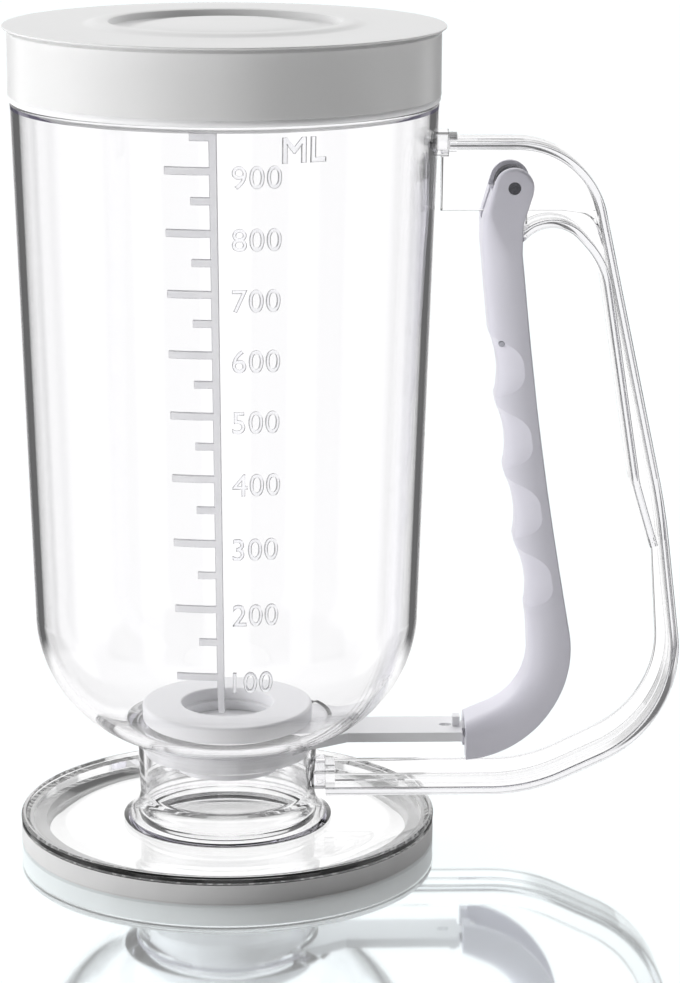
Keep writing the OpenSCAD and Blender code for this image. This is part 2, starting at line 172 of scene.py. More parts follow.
def smoothed(table, step):
    """Points every step along a table of (x, value) pairs, on a smooth curve through them."""
    points = []
    last = len(table) - 1
    for i in range(last):
        nearby = [table[max(0, min(last, k))] for k in range(i - 1, i + 3)]
        (x0, v0), (x1, v1), (x2, v2), (x3, v3) = nearby
        width = x2 - x1
        slope = (v2 - v1) / width
        before = (v1 - v0) / (x1 - x0) if i else slope
        after = (v3 - v2) / (x3 - x2) if i < last - 1 else slope
        start = 0.0 if before * slope <= 0 else 2 * before * slope / (before + slope)
        end = 0.0 if slope * after <= 0 else 2 * slope * after / (slope + after)
        count = max(1, round(width / step))
        for j in range(count):
            t = j / count
            value = v1 * (1 + 2 * t) * (1 - t) ** 2 + v2 * t * t * (3 - 2 * t)
            value += width * (start * t * (1 - t) ** 2 + end * t * t * (t - 1))
            points.append((x1 + t * width, value))
    return points + [table[-1]]


# ---------- flat paths, as (x, z) or (r, z) vectors ----------


def vectors(*places):
    return [Vector(place) for place in places]


def arc(cx, cz, r, a0, a1, steps):
    angles = [math.radians(a0 + (a1 - a0) * i / steps) for i in range(steps + 1)]
    return [Vector((cx + r * math.cos(a), cz + r * math.sin(a))) for a in angles]


def corner(before, here, after, r, steps):
    """Arc of radius r that rounds the corner at here."""
    u = (before - here).normalized()
    w = (after - here).normalized()
    half = math.acos(max(-1.0, min(1.0, u.dot(w)))) / 2
    centre = here + (u + w).normalized() * r / math.sin(half)
    side = -1 if u.x * w.y - u.y * w.x > 0 else 1
    first = here + u * r / math.tan(half) - centre
    start = math.degrees(math.atan2(first.y, first.x))
    return arc(centre.x, centre.y, r, start, start + side * (180 - 2 * math.degrees(half)), steps)


def rounded(places, radii, steps=24):
    """The path through the places, each corner rounded by its radius."""
    points = vectors(*places)
    path = [points[0]]
    for i in range(1, len(points) - 1):
        if radii[i]:
            path += corner(points[i - 1], points[i], points[i + 1], radii[i], steps)
        else:
            path.append(points[i])
    return path + [points[-1]]


def inset(places, distance):
    """The same open path moved to its right-hand side."""
    points = vectors(*places)
    path = []
    for i, here in enumerate(points):
        a = here - points[i - 1] if i else points[1] - here
        b = points[i + 1] - here if i + 1 < len(points) else a
        a, b = a.normalized(), b.normalized()
        na, nb = Vector((a.y, -a.x)), Vector((b.y, -b.x))
        path.append(here + (na + nb) * distance / (1 + na.dot(nb)))
    return path


def shrink(radii, distance):
    return [r - distance if r > distance else 0 for r in radii]


def spread(path, count):
    """count + 1 points evenly along the path."""
    lengths = [0.0]
    for a, b in zip(path, path[1:]):
        lengths.append(lengths[-1] + (b - a).length)
    tables = [[(d, p[axis]) for d, p in zip(lengths, path)] for axis in (0, 1)]
    places = [lengths[-1] * k / count for k in range(count + 1)]
    return [Vector([between(place, table) for table in tables]) for place in places]


def heading(path, i):
    """Unit vector along the path at its point i."""
    return (path[min(i + 1, len(path) - 1)] - path[max(i - 1, 0)]).normalized()


# ---------- solids, in millimetres ----------


def edited(mesh, change):
    """The mesh after change has worked on it as a bmesh."""
    bm = bmesh.new()
    bm.from_mesh(mesh)
    change(bm)
    bm.to_mesh(mesh)
    bm.free()
    return mesh


def make_mesh(points, faces):
    """Welded mesh with its normals outwards."""
    def weld(bm):
        bmesh.ops.remove_doubles(bm, verts=bm.verts, dist=WELD)
        bmesh.ops.recalc_face_normals(bm, faces=bm.faces)

    mesh = bpy.data.meshes.new("solid")
    mesh.from_pydata([tuple(p) for p in points], [], faces)
    return edited(mesh, weld)


def lathe(profile, steps):
    """Solid of revolution about Z from a closed (r, z) profile."""
    angles = [math.tau * i / steps for i in range(steps)]
    turns = [(math.cos(a), math.sin(a)) for a in angles]
    points, rows = [], []
    for r, z in profile:
        if r < ON_AXIS:
            rows.append([len(points)] * steps)
            points.append((0, 0, z))
        else:
            rows.append(list(range(len(points), len(points) + steps)))
            points += [(r * c, r * s, z) for c, s in turns]
    faces = []
    for a, b in zip(rows, rows[1:] + rows[:1]):
        if a[0] == a[1] and b[0] == b[1]:
            continue
        for i in range(steps):
            j = (i + 1) % steps
            faces.append(list(dict.fromkeys((a[i], a[j], b[j], b[i]))))
    return make_mesh(points, faces)


def loft(rings):
    """Solid through rings with equal numbers of points, closed at both ends."""
    count = len(rings[0])
    last = count * (len(rings) - 1)
    faces = [list(range(count)), list(range(last, last + count))]
    for k in range(0, last, count):
        for i in range(count):
            j = (i + 1) % count
            faces.append((k + i, k + j, k + count + j, k + count + i))
    return make_mesh([p for ring in rings for p in ring], faces)


def plate(outline, thickness, edge=0.0):
    """Flat (x, z) outline thickened about y = 0, its rims rounded by edge."""
    def round_rims(bm):
        rims = [e for e in bm.edges if abs(e.verts[0].co.y - e.verts[1].co.y) < ON_AXIS]
        bmesh.ops.bevel(bm, geom=rims, offset=edge, segments=4, affect="EDGES", profile=0.5)

    half = thickness / 2
    points = vectors(*outline)
    outline = [p for i, p in enumerate(points) if (p - points[i - 1]).length > SAME_POINT]
    mesh = loft([[(p.x, y, p.y) for p in outline] for y in (-half, half)])
    return edited(mesh, round_rims) if edge else mesh


def strip(path, depth, width, edge):
    """Bar that follows an (x, z) path, depth to its right, width across, all edges rounded."""
    inner = abs(depth) / 2 - edge
    section = []
    for cu, cv, a0 in ((1, 1, 0), (-1, 1, 90), (-1, -1, 180), (1, -1, 270)):
        for p in arc(cu * inner, cv * (width / 2 - edge), edge, a0, a0 + 90, EDGE_STEPS):
            section.append((p.x + depth / 2, p.y))
    rings = []
    for i, here in enumerate(path):
        ahead = heading(path, i)
        right = Vector((ahead.y, -ahead.x))
        rings.append([(here.x + right.x * u, v, here.y + right.y * u) for u, v in section])
    return loft(rings)


def along_y(mesh, place):
    """The mesh turned from the Z axis to a Y axis through an (x, z) place."""
    turn = Matrix.Rotation(-QUARTER, 4, "X")
    mesh.transform(Matrix.Translation((place[0], 0, place[1])) @ turn)
    return mesh


def rod_y(place, r, y0, y1, edge=0.0):
    """Round rod along Y at an (x, z) place, its rims chamfered by edge."""
    profile = [(0, y0), (r, y0), (r, y1), (0, y1)]
    if edge:
        profile[1:3] = [(r - edge, y0), (r, y0 + edge), (r, y1 - edge), (r - edge, y1)]
    return along_y(lathe(profile, ROD_STEPS), place)


def rod_x(x0, x1, z, r):
    """Round rod along X in the plane y = 0."""
    mesh = lathe([(0, x0), (r, x0), (r, x1), (0, x1)], ROD_STEPS)
    mesh.transform(Matrix.Translation((0, 0, z)) @ Matrix.Rotation(QUARTER, 4, "Y"))
    return mesh


def block(low, high):
    x0, y0, z0 = low
    x1, y1, z1 = high
    return loft([[(x0, y0, z), (x1, y0, z), (x1, y1, z), (x0, y1, z)] for z in (z0, z1)])


def baked(data, kind=None, **settings):
    """The mesh of an object with this data, after one modifier where a kind is given."""
    holder = bpy.data.objects.new("holder", data)
    scene.collection.objects.link(holder)
    if kind:
        modifier = holder.modifiers.new("step", kind)
        for key, value in settings.items():
            setattr(modifier, key, value)
    graph = bpy.context.evaluated_depsgraph_get()
    result = bpy.data.meshes.new_from_object(holder.evaluated_get(graph), depsgraph=graph)
    bpy.data.objects.remove(holder)
    return result


def combine(operation, base, tools):
    for tool_mesh in tools:
        tool = bpy.data.objects.new("tool", tool_mesh)
        scene.collection.objects.link(tool)
        base = baked(base, "BOOLEAN", operation=operation, object=tool, solver="MANIFOLD")
        bpy.data.objects.remove(tool)
    return base


def union(base, *tools):
    return combine("UNION", base, tools)


def cut(base, *tools):
    return combine("DIFFERENCE", base, tools)


def cleaned(mesh):
    """The mesh without the slivers that cuts leave."""
    def clean(bm):
        bmesh.ops.remove_doubles(bm, verts=bm.verts, dist=SLIVER)
        bmesh.ops.dissolve_degenerate(bm, edges=bm.edges, dist=SLIVER)

    return edited(mesh, clean)


# ---------- jug, dish and lid, turned about the Z axis ----------


def jug_mesh():
    """Body, bowl, neck with the shutter's slot, flared foot, and two pads that take spigots."""
    foot_z = DISH_Z + FOOT_GAP
    outside = arc(NECK_FOOT_R - FOOT_EDGE, foot_z + FOOT_EDGE, FOOT_EDGE, -90, 50, 6)
    outside += arc(NECK_R + FLARE_R, FLARE_Z, FLARE_R, 243, 180, 24)
    outside += vectors((NECK_TOP_R, THROAT_Z - 0.2))
    outside += arc(NECK_TOP_R + THROAT_R, THROAT_Z, THROAT_R, 180, 116, 10)
    outside += arc(BOWL_X, JUG_LOW_Z, BOWL_R, -68, 0, 72)
    outside += vectors((JUG_TOP_R, SHOULDER_Z - 1))
    outside += arc(JUG_TOP_R - SHOULDER_EDGE, SHOULDER_Z - SHOULDER_EDGE, SHOULDER_EDGE, 0, 90, 6)
    rim_z = COLLAR_TOP_Z - COLLAR_EDGE
    outside += vectors((COLLAR_R, SHOULDER_Z), (COLLAR_R, rim_z))
    outside += arc(COLLAR_R - COLLAR_EDGE, rim_z, COLLAR_EDGE, 0, 90, 4)
    inside = arc(COLLAR_R - 1.5, rim_z, COLLAR_EDGE, 90, 180, 4)
    inside += vectors((COLLAR_R - 2, SHOULDER_Z + 1.5), (JUG_TOP_R - WALL - 0.1, SHOULDER_Z - 1.5))
    inside += arc(BOWL_X, JUG_LOW_Z, BOWL_R - WALL, 0, -68.9, 72)
    inside += vectors((BORE_R, FLOOR_Z), (BORE_R, 18))
    bore = [(BORE_R, 17), (BORE_R, 12), (BORE_R + 1.0, 9), (NECK_FOOT_R - WALL, foot_z)]
    inside += rounded(bore, [0, 6, 3, 0], 8)
    jug = union(
        lathe(outside + inside, ROUND_STEPS),
        rod_x(JUG_TOP_R - WALL + 0.6, PAD_X, TOP_SPIGOT_Z, PAD_R),
        rod_x(NECK_R - 1, LOW_PAD_X, LOW_SPIGOT_Z, LOW_PAD_R),
    )
    spigots = (PAD_X, TOP_SPIGOT_Z, TOP_SPIGOT), (LOW_PAD_X, LOW_SPIGOT_Z, LOW_SPIGOT)
    holes = []
    for x, z, (r, length) in spigots:
        holes.append(rod_x(x - length - SPIGOT_END_PLAY, x + 1, z, r + SPIGOT_PLAY))
    slot = block((0, -SLOT_HALF_W, SLOT_Z[0]), (32, SLOT_HALF_W, SLOT_Z[1]))
    return cut(jug, slot, *holes)


def dish_mesh():
    """Drip dish: a narrow lip, a long soft slope, and a low ring that keeps the neck in place."""
    ledge = LEDGE_R + 3
    profile = vectors((0, DISH_UNDER_Z), (ledge, DISH_UNDER_Z), (ledge, FOOT_H))
    profile += vectors((STAND_R - 0.2, FOOT_H), (STAND_R, FOOT_H + 0.3))
    edge_z = STAND_H - STAND_EDGE
    profile += arc(STAND_R - STAND_EDGE, edge_z, STAND_EDGE, 0, 90, 10)
    lip_r = STAND_R - LIP_W
    slope = [(lip_r, STAND_H), (lip_r - 1, edge_z), (LEDGE_R - 6, DISH_Z), (30, DISH_Z)]
    profile += rounded(slope, [0, 1.5, 30, 0], 8)
    profile += vectors((LOCATOR_R, DISH_Z))
    profile += arc(LOCATOR_R - 0.7, DISH_Z + 1.1, LOCATOR_EDGE, 0, 90, 5)
    profile += arc(LOCATOR_R - 1.2, DISH_Z + 1.1, LOCATOR_EDGE, 90, 180, 5)
    profile += vectors((LOCATOR_R - 2.2, DISH_Z - 0.4), (LOCATOR_R - 4, DISH_Z - 0.9))
    profile += vectors((0, DISH_Z - 1.1))
    return lathe(profile, ROUND_STEPS)


# Height of the lid's top over its rim: the middle plateau, the valley, the bead and the flat
LID_RELIEF = [
    (0, 0.5), (8, 0.47), (13, 0.4), (16, 0.28), (18, 0.1),
    (20, -0.25), (22, -0.65), (24, -1.0), (25.6, -1.12), (26.7, -1.05), (27.1, -0.8),
    (27.5, 0.1), (27.9, 0.68), (28.7, 0.9), (29.8, 0.96), (31, 0.9), (32, 0.7), (33, 0.36),
    (34, 0.16), (35.5, 0.12), (44, 0.1), (49, 0.06), (LID_R - 1, 0.0),
]
RELIEF_STEP = 0.3


def lid_mesh():
    """Cap with a thin overhanging rim, a skirt round the collar and a plug inside it."""
    under_z = LID_TOP_Z - 3.6
    top = vectors(*[(r, LID_TOP_Z + z) for r, z in smoothed(LID_RELIEF, RELIEF_STEP)])
    rim = arc(LID_R - LID_EDGE, LID_TOP_Z - LID_EDGE, LID_EDGE, 80, -80, 10)
    skirt = rounded([
        (SKIRT_R - 1.3, LID_TOP_Z - 0.6), (SKIRT_R - 1.1, LID_TOP_Z - 1.0),
        (SKIRT_R, LID_TOP_Z - 1.5), (SKIRT_R, SKIRT_LOW_Z), (COLLAR_R + 0.2, SKIRT_LOW_Z),
    ], [0, 0.2, 0.4, 0.15, 0], 5)
    under = vectors(
        (COLLAR_R + 0.2, under_z - 0.5), (COLLAR_R - 0.3, under_z), (COLLAR_R - 2.3, under_z),
        (COLLAR_R - 2.4, SHOULDER_Z + 6), (COLLAR_R - 3.8, SHOULDER_Z + 6.4),
        (COLLAR_R - 4, under_z), (0, under_z + 0.6),
    )
    return lathe(top + rim + skirt + under, ROUND_STEPS)


# ---------- handle ----------

ARM_PATH = [
    (PAD_X, ARM_TOP_Z), (88.4, ARM_TOP_Z), (108.4, 86), (115.3, 30.4),
    (75.8, ARM_LOW_Z), (LOW_PAD_X, ARM_LOW_Z),
]
ARM_RADII = [0, 22, 180, 32, 44, 0]
PALM_PATH = [(71.9, 152.4), (79.6, 159.5), (91.1, 147), (100, 92), (104.8, 76)]
PALM_RADII = [0, 8.5, 20, 14, 0]


def handle_mesh():
    """Flanges of the arm and the palm rib, webs between them, hubs on the hinge, two spigots."""
    web_x = PAD_X - 1.8
    web_inset = FLANGE_T - 0.2
    inner = rounded(inset(ARM_PATH, web_inset), shrink(ARM_RADII, web_inset), 32)
    hinge_web = vectors((web_x, WEB_LOW_Z), (web_x, ARM_TOP_Z - 1))
    hinge_web += [p for p in inner if p.y > 147 and p.x > web_x + 1]
    hinge_end = [(93.4, 146.5), (89, 158.4), (82, WEB_LOW_Z), (web_x, WEB_LOW_Z)]
    hinge_web += rounded(hinge_end, [0, 5, 10, 0])
    thin_web = vectors((73, 152.9))
    thin_web += [p for p in rounded(inset(PALM_PATH, -1), PALM_RADII) if p.x > 74]
    thin_end = [(105.6, 76), (108.4, 36), (75, 19.7), (LOW_PAD_X, 19.7)]
    thin_web += rounded(thin_end, [0, 26, 36, 0], 28)
    thin_web += vectors((LOW_PAD_X, ARM_LOW_Z + 1))
    thin_web += list(reversed([p for p in inner if p.y < 165 and p.x > LOW_PAD_X + 1]))
    thin_web += vectors((85, WEB_LOW_Z + 1), (73, WEB_LOW_Z + 1))
    pad_notch = rod_x(web_x - 1, PAD_X, TOP_SPIGOT_Z, 3.5)
    handle = union(
        strip(rounded(ARM_PATH, ARM_RADII, 40), FLANGE_T, HANDLE_W, FLANGE_EDGE),
        strip(rounded(PALM_PATH, PALM_RADII, 28), -PALM_T, HANDLE_W, PALM_EDGE),
        cut(plate(hinge_web, WEB_T, 0.8), pad_notch),
        plate(thin_web, WEB_T - 1, 0.4),
        rod_y(PIVOT, HUB_R, 0.1 - CHANNEL, 0.0),
        rod_y(PIVOT, COIL_HUB_R, 0.0, CHANNEL - 0.1),
        rod_x(PAD_X - TOP_SPIGOT[1], PAD_X + 0.01, TOP_SPIGOT_Z, TOP_SPIGOT[0]),
        rod_x(PAD_X, PAD_X + 2, TOP_SPIGOT_Z, 2.6),
        rod_x(LOW_PAD_X - LOW_SPIGOT[1], LOW_PAD_X + 0.01, LOW_SPIGOT_Z, LOW_SPIGOT[0]),
        rod_x(LOW_PAD_X, LOW_PAD_X + 2.4, LOW_SPIGOT_Z, 3.6),
    )
    pin_hole = rod_y(PIVOT, PIN_R, -CHEEK, CHEEK)
    wire_hole = rod_y((PIVOT.x - COIL_R, PIVOT.y), WIRE_R + 0.1, -WEB_T, WEB_T)
    return cut(handle, pin_hole, wire_hole)


# ---------- trigger ----------

# The grip's front and back, as (z, x) pairs
FRONT_LINE = [
    (54, 75.1), (60.6, 74.15), (77.8, 71.1), (95.5, 68.4), (113.1, 66.0), (131.2, 64.1),
    (142, 63.0), (152, 62.1), (158.5, 62.2), (163, 63.6), (167.4, 64.9),
]
BACK_LINE = [
    (54, 85.1), (60, 84.05), (70, 82.3), (80, 80.6), (90, 79.0), (101, 77.4), (112, 75.9),
    (130, 73.8), (150, 71.7), (157, 71.8), (164.6, 74.1), (167.4, 74.0),
]
# The oval front's half axes across and along the section, as (z, length) pairs
OVAL_ACROSS = [(0, 4.6), (148, 4.6), (160, 1.6), (166, 0.9)]
OVAL_ALONG = [(40, 6.0), (56, 7.6), (148, 7.6), (160, 1.6), (166, 0.9)]
SCOOP_ANGLE = math.radians(64)
SCOOP_START = 2.6
SCOOP_REACH = 0.79
SCOOP_LENGTH = 0.88
SCOOP_SOFTNESS = 0.004
SLICE = 0.55
BEND_SLICES = 50
FLAT_STEPS = 10
CURVE_STEPS = 9


def scoop(z):
    """0 on the ridges, 1 at the middle of a finger groove."""
    turn = (GROOVE_TOP_Z - z) / GROOVE_PITCH
    if not 0 < turn < GROOVES:
        return 0.0
    t = 2 * (turn % 1) - 1
    v = 1 - (t / SCOOP_LENGTH) ** 2
    return 0.5 * (v + math.sqrt(v * v + SCOOP_SOFTNESS)) if v > -0.2 else 0.0


def trigger_slice(front, back):
    """Section of the grip: an oval front, with a scoop in it where there is a finger groove."""
    across = (back - front).normalized()
    depth = (back - front).length
    height = front.y
    width = between(height, OVAL_ACROSS)
    reach = min(between(height, OVAL_ALONG), depth - 0.6)
    share = scoop(height)
    floor = GROOVE_DEPTH * share
    rim = min(max(SCOOP_REACH * depth * math.sqrt(share), floor), reach - 0.1)

    def oval(y):
        u = max(0.0, (y - CHEEK + width) / width)
        return reach * (1 - math.sqrt(max(0.0, 1 - u * u)))

    def scooped(y):
        u = max(0.0, (y - SCOOP_START) / (CHEEK - SCOOP_START))
        a = math.asin(u * math.sin(SCOOP_ANGLE))
        return floor + (rim - floor) * (1 - math.cos(a)) / (1 - math.cos(SCOOP_ANGLE))

    # Where the scoop meets the oval, found by halving
    low, high = CHEEK - width, CHEEK
    for _ in range(30):
        middle = (low + high) / 2
        if oval(middle) < scooped(middle):
            low = middle
        else:
            high = middle
    side = []
    for i in range(FLAT_STEPS + 1):
        y = SCOOP_START + (low - SCOOP_START) * i / FLAT_STEPS
        side.append((front + across * scooped(y), y))
    start = math.asin(max(0.0, min(1.0, (low - CHEEK + width) / width)))
    for i in range(1, CURVE_STEPS + 1):
        a = start + (math.pi / 2 - start) * i / CURVE_STEPS
        along = front + across * reach * (1 - math.cos(a))
        side.append((along, CHEEK - width + width * math.sin(a)))
    for i in range(4):
        a = math.radians(90 * i / 3)
        along = back - across * BACK_EDGE * (1 - math.sin(a))
        side.append((along, CHEEK - BACK_EDGE * (1 - math.cos(a))))
    return [(p.x, y, p.y) for p, y in side] + [(p.x, -y, p.y) for p, y in reversed(side)]


def grip_mesh(foot_line):
    """The solid grip, from the pivot down its grooved front and round the bend to the foot."""
    rings = []
    z = PIVOT.y + 1.4
    while z > BEND_Z + 0.3:
        front = Vector((between(z, FRONT_LINE), z))
        back = Vector((between(z, BACK_LINE), z))
        rings.append(trigger_slice(front, back))
        z -= SLICE
    bend_start = between(BEND_Z, BACK_LINE)
    back_line = [(bend_start, BEND_Z), (87, 44.6), (73.4, 23.3), (FOOT_X, FOOT_Z[0])]
    bend_front = rounded(foot_line, [0, 16, 0])
    bend_back = rounded(back_line, [0, 28, 27.5, 0])
    for front, back in zip(spread(bend_front, BEND_SLICES), spread(bend_back, BEND_SLICES)):
        rings.append(trigger_slice(front, back))
    return loft(rings)


def hollow_plates(foot_line):
    """What hollows the grip: the wide channel, a narrow one behind the grooves, a spring pocket."""
    skin = TRIGGER_WALL + GROOVE_DEPTH + 0.1
    foot_wall = FOOT_X + TRIGGER_WALL
    low = rounded(inset(foot_line, -2.4), [0, 18.4, 0])
    low = [p for p in low if p.x > foot_wall and p.y < BEND_Z - 3]
    low += vectors((foot_wall, FOOT_Z[1] - 1.7), (foot_wall, 10), (110, 10), (110, 170))
    upper = vectors((62.1 + skin, 170), (62.1 + skin, 152), (63 + skin, 142))
    ridges = (131.2, 113.1, 95.5, 77.8, 60.6)
    channel = [(between(z, FRONT_LINE) + skin + 1.6, z) for z in (141,) + ridges]
    channel = upper + vectors(*channel) + low
    narrow = [(between(z, FRONT_LINE) + skin, z) for z in (142,) + ridges] + [(80, 53), (80, 142)]
    left, right = ANCHOR.x, ANCHOR.x + 8
    bottom, top = ANCHOR.y - 1.5, ANCHOR.y + 12.2
    pocket = [(left, bottom), (left, top), (right, top), (right, bottom)]
    return [
        plate(channel, 2 * CHANNEL),
        plate(narrow, 2 * (CHANNEL - 1.5)),
        plate(pocket, 2 * (CHANNEL - 1.7)),
    ]


def trigger_mesh():
    """Channel-shaped lever with two ears, finger grooves and a slotted foot for the slide's bar."""
    foot_line = [(between(BEND_Z, FRONT_LINE), BEND_Z), (75.9, 38), (FOOT_X, FOOT_Z[1])]
    grip = grip_mesh(foot_line)
    ear = vectors((0, -CHEEK)) + arc(EAR_R - EAR_EDGE, EAR_EDGE - CHEEK, EAR_EDGE, -90, 0, 8)
    ear += arc(EAR_R - EAR_EDGE, CHEEK - EAR_EDGE, EAR_EDGE, 0, 90, 8) + vectors((0, CHEEK))
    hollows = hollow_plates(foot_line)
    foot_slot_end = (FOOT_X + TRIGGER_WALL + 1, FOOT_SLOT_HALF_W, 29.4)
    return cut(
        union(grip, along_y(lathe(ear, EAR_STEPS), PIVOT)),
        *hollows,
        block((50, -WEB_SLOT, WEB_SLOT_Z), (70, WEB_SLOT, OVER_EARS_Z)),
        block((50, -CHANNEL, PIVOT.y - 0.9), (90, CHANNEL, OVER_EARS_Z)),
        block((FOOT_X - 1, -FOOT_SLOT_HALF_W, FOOT_Z[0] - 2), foot_slot_end),
        rod_y(PIVOT, PIN_R + 0.05, -CHEEK - 1, CHEEK + 1),
        rod_y(ANCHOR, ANCHOR_R, -CHEEK - 1, CHEEK + 1),
    )


def anchor_mesh():
    """Cross pin that holds the spring's leg, its ends sunk in the cheeks."""
    end = CHEEK - ANCHOR_SUNK
    return rod_y(ANCHOR, ANCHOR_R, -end, end, ANCHOR_EDGE)


def spring_mesh():
    """Round wire: a turned-in end, the coil, and the long leg down the channel."""
    turns = COIL_TURNS * COIL_STEPS
    coil_x = PIVOT.x - COIL_R
    path = vectors((coil_x, -0.9, PIVOT.y), (coil_x, COIL_Y[0] - 0.4, PIVOT.y))
    for i in range(turns + 1):
        a = math.pi + math.tau * i / COIL_STEPS
        y = COIL_Y[0] + (COIL_Y[1] - COIL_Y[0]) * i / turns
        path.append(Vector((PIVOT.x + COIL_R * math.cos(a), y, PIVOT.y - COIL_R * math.sin(a))))
    path.append(Vector((ANCHOR.x + ANCHOR_R + WIRE_R + 0.05, LEG_Y, ANCHOR.y - 0.9)))
    angles = [math.tau * k / WIRE_SIDES for k in range(WIRE_SIDES)]
    rings = []
    side = Vector((1, 0, 0))
    for i, here in enumerate(path):
        ahead = heading(path, i)
        side = (side - ahead * side.dot(ahead)).normalized()
        up = ahead.cross(side)
        rings.append([here + WIRE_R * (math.cos(a) * side + math.sin(a) * up) for a in angles])
    return loft(rings)


# ---------- capacity marks ----------

MARK_LIFT = 0.35
MARK_SUNK = 0.3
MARK_LEAN = 0.2
BAR_HALF_W = 0.92
BAR_Z = (46.2, 185.1)
HUNDREDS_Z = [55.7, 72.4, 88.5, 104.1, 119.1, 133.6, 147.8, 162.0, 176.4]
TOP_TICK_Z = 184.2
TICK_HALF_H = 0.95
LONG_TICK = 10.8
SHORT_TICK = 5.1
NUMBER_LEFT = 1.4
NUMBER_H = 5.4
UNIT_LEFT = 12.6
UNIT_Z = 180.9
CAPITAL_SHARE = 0.73


def jug_radius(z):
    """Outer radius of the jug's slightly conical wall at height z."""
    return between(z, [(14.0, 33.0), (JUG_LOW_Z, JUG_LOW_R), (SHOULDER_Z, JUG_TOP_R)])


def on_wall(across, z, lift):
    """Point on the jug's front wall: across is the arc length to the right of its front line."""
    if z < JUG_LOW_Z:
        drop = math.asin((JUG_LOW_Z - z) / BOWL_R)
        radius = BOWL_X + (BOWL_R + lift) * math.cos(drop)
    else:
        radius = jug_radius(z) + lift
    angle = -QUARTER + across / jug_radius(JUG_LOW_Z + 60)
    return Vector((radius * math.cos(angle), radius * math.sin(angle), z))


def bar_across(z):
    """The bar's middle: it stands a little left of the front line, more so at the top."""
    return between(z, [(46, -1.5), (185, -2.75)])


def raised_bar(left, right, low, high, steps):
    """Low bar with sloping sides on the wall, its underside sunk into it."""
    rings = []
    for i in range(steps + 1):
        t = i / steps
        if right - left > high - low:
            s = left + t * (right - left)
            places = [(s, low), (s, low + MARK_LEAN), (s, high - MARK_LEAN), (s, high)]
        else:
            z = low + t * (high - low)
            a, b = bar_across(z) + left, bar_across(z) + right
            places = [(a, z), (a + MARK_LEAN, z), (b - MARK_LEAN, z), (b, z)]
        lifts = (-MARK_SUNK, MARK_LIFT, MARK_LIFT, -MARK_SUNK)
        rings.append([on_wall(*place, lift) for place, lift in zip(places, lifts)])
    return loft(rings)


def marks_mesh():
    """The scale: an upright bar, a long tick at each hundred and a short one between them."""
    heights = [(z, LONG_TICK) for z in HUNDREDS_Z]
    heights += [((a + b) / 2 + 0.3, SHORT_TICK) for a, b in zip(HUNDREDS_Z, HUNDREDS_Z[1:])]
    heights.append((TOP_TICK_Z, SHORT_TICK))
    bar = raised_bar(-BAR_HALF_W, BAR_HALF_W, *BAR_Z, 60)
    ticks = []
    for z, length in heights:
        middle = bar_across(z)
        right = middle - BAR_HALF_W + 0.3
        ticks.append(raised_bar(middle - length, right, z - TICK_HALF_H, z + TICK_HALF_H, 12))
    return union(bar, *ticks)


def lettering(text, left, middle_z, height, weight):
    """Flat numbers or letters, thickened and laid on the wall."""
    curve = bpy.data.curves.new("lettering", "FONT")
    curve.body = text
    curve.size = height / CAPITAL_SHARE
    curve.offset = weight
    curve.extrude = 0.25
    curve.bevel_depth = 0.22
    curve.bevel_resolution = 2
    curve.resolution_u = 6
    curve.space_character = 1.06
    mesh = baked(curve)
    low_x = min(v.co.x for v in mesh.vertices)
    low_y = min(v.co.y for v in mesh.vertices)
    high_y = max(v.co.y for v in mesh.vertices)
    for v in mesh.vertices:
        z = middle_z + v.co.y - (low_y + high_y) / 2
        v.co = on_wall(left + v.co.x - low_x, z, v.co.z - 0.05)
    return mesh


def numbers_mesh():
    """The hundreds beside their ticks, and the unit above them."""
    def write(bm):
        for i, z in enumerate(HUNDREDS_Z):
            bm.from_mesh(lettering(f"{i + 1}00", NUMBER_LEFT, z - 1.5, NUMBER_H, -0.14))
        bm.from_mesh(lettering("ML", UNIT_LEFT, UNIT_Z, NUMBER_H + 0.5, 0.0))

    return edited(bpy.data.meshes.new("numbers"), write)


# ---------- materials ----------


def add_node(tree, kind, inputs, settings):
    """A shader node; an input that is given a socket is linked to it."""
    made = tree.nodes.new("ShaderNode" + kind)
    for key, value in settings.items():
        setattr(made, key, value)
    for key, value in dict(inputs).items():
        if isinstance(value, bpy.types.NodeSocket):
            tree.links.new(value, made.inputs[key])
        else:
            made.inputs[key].default_value = value
    return made


